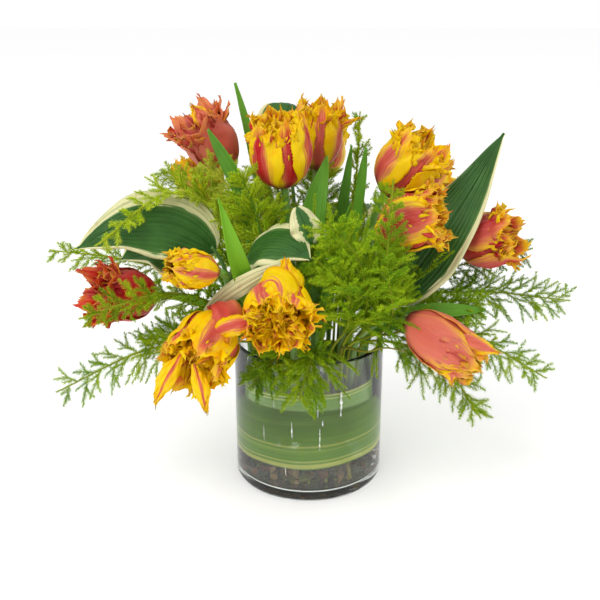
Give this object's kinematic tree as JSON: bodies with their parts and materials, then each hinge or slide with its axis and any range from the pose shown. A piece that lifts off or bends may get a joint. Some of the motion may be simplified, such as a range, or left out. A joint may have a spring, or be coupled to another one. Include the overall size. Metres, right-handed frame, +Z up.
{
  "type": "tulip bouquet in a glass cylinder vase",
  "caption": "Fringed double tulips in yellow and crimson with variegated hosta leaves and fern sprays, standing in a leaf-lined clear glass cylinder vase of water.",
  "frame": {"origin": "middle of the vase's foot, on the surface it stands on", "axes": "+Z up along the vase's axis, +X to the viewer's right, and the front of the bouquet faces -Y"},
  "size_m": [0.4425, 0.32, 0.3354],
  "materials": {
    "clear_glass": "clear, polished",
    "water": "clear liquid, slightly grey",
    "striped_leaf": "waxy green leaf with thin cream and yellow stripes along it",
    "tulip_stem": "smooth, fleshy green stem",
    "petals": "satin petals, yellow edges and crimson flames, finely fringed",
    "hosta_leaf": "satin dark green, deep parallel veins, cream margins",
    "tulip_leaf": "smooth, waxy mid green",
    "fern": "soft needles, lime to dark green"
  },
  "bodies": {
    "root": {"bloom_far_left": "petals", "bloom_far_right": "petals", "bloom_front": "petals", "bloom_low_left": "petals", "bloom_low_right": "petals", "bloom_rear": "petals", "bloom_rear_left": "petals", "bloom_rear_right": "petals", "bloom_right": "petals", "bloom_small_left": "petals", "bloom_top": "petals", "bloom_top_left": "petals", "bloom_top_rear": "petals", "bloom_top_right": "petals", "fern_centre_spray": "fern", "fern_centre_tall": "fern", "fern_front_drape": "fern", "fern_gold_left": "fern", "fern_left_arch": "fern", "fern_left_low": "fern", "fern_left_mid": "fern", "fern_left_tip": "fern", "fern_rear_left": "fern", "fern_rear_right": "fern", "fern_right_drop": "fern", "fern_right_long": "fern", "fern_right_low": "fern", "fern_right_upper": "fern", "fern_top": "fern", "hosta_leaf_front": "hosta_leaf", "hosta_leaf_left": "hosta_leaf", "hosta_leaf_left_rear": "hosta_leaf", "hosta_leaf_rear": "hosta_leaf", "hosta_leaf_right": "hosta_leaf", "hosta_leaf_top": "hosta_leaf", "leaf_liner": "striped_leaf", "tulip_leaf_centre": "tulip_leaf", "tulip_leaf_centre_low": "tulip_leaf", "tulip_leaf_centre_rear": "tulip_leaf", "tulip_leaf_centre_right": "tulip_leaf", "tulip_leaf_left": "tulip_leaf", "tulip_leaf_lime": "tulip_leaf", "tulip_leaf_right": "tulip_leaf", "tulip_leaf_tall_left": "tulip_leaf", "tulip_stem_far_left": "tulip_stem", "tulip_stem_far_right": "tulip_stem", "tulip_stem_front": "tulip_stem", "tulip_stem_low_left": "tulip_stem", "tulip_stem_low_right": "tulip_stem", "tulip_stem_rear": "tulip_stem", "tulip_stem_rear_left": "tulip_stem", "tulip_stem_rear_right": "tulip_stem", "tulip_stem_right": "tulip_stem", "tulip_stem_small_left": "tulip_stem", "tulip_stem_top": "tulip_stem", "tulip_stem_top_left": "tulip_stem", "tulip_stem_top_rear": "tulip_stem", "tulip_stem_top_right": "tulip_stem", "vase": "clear_glass", "water": "water"}
  },
  "joints": []
}
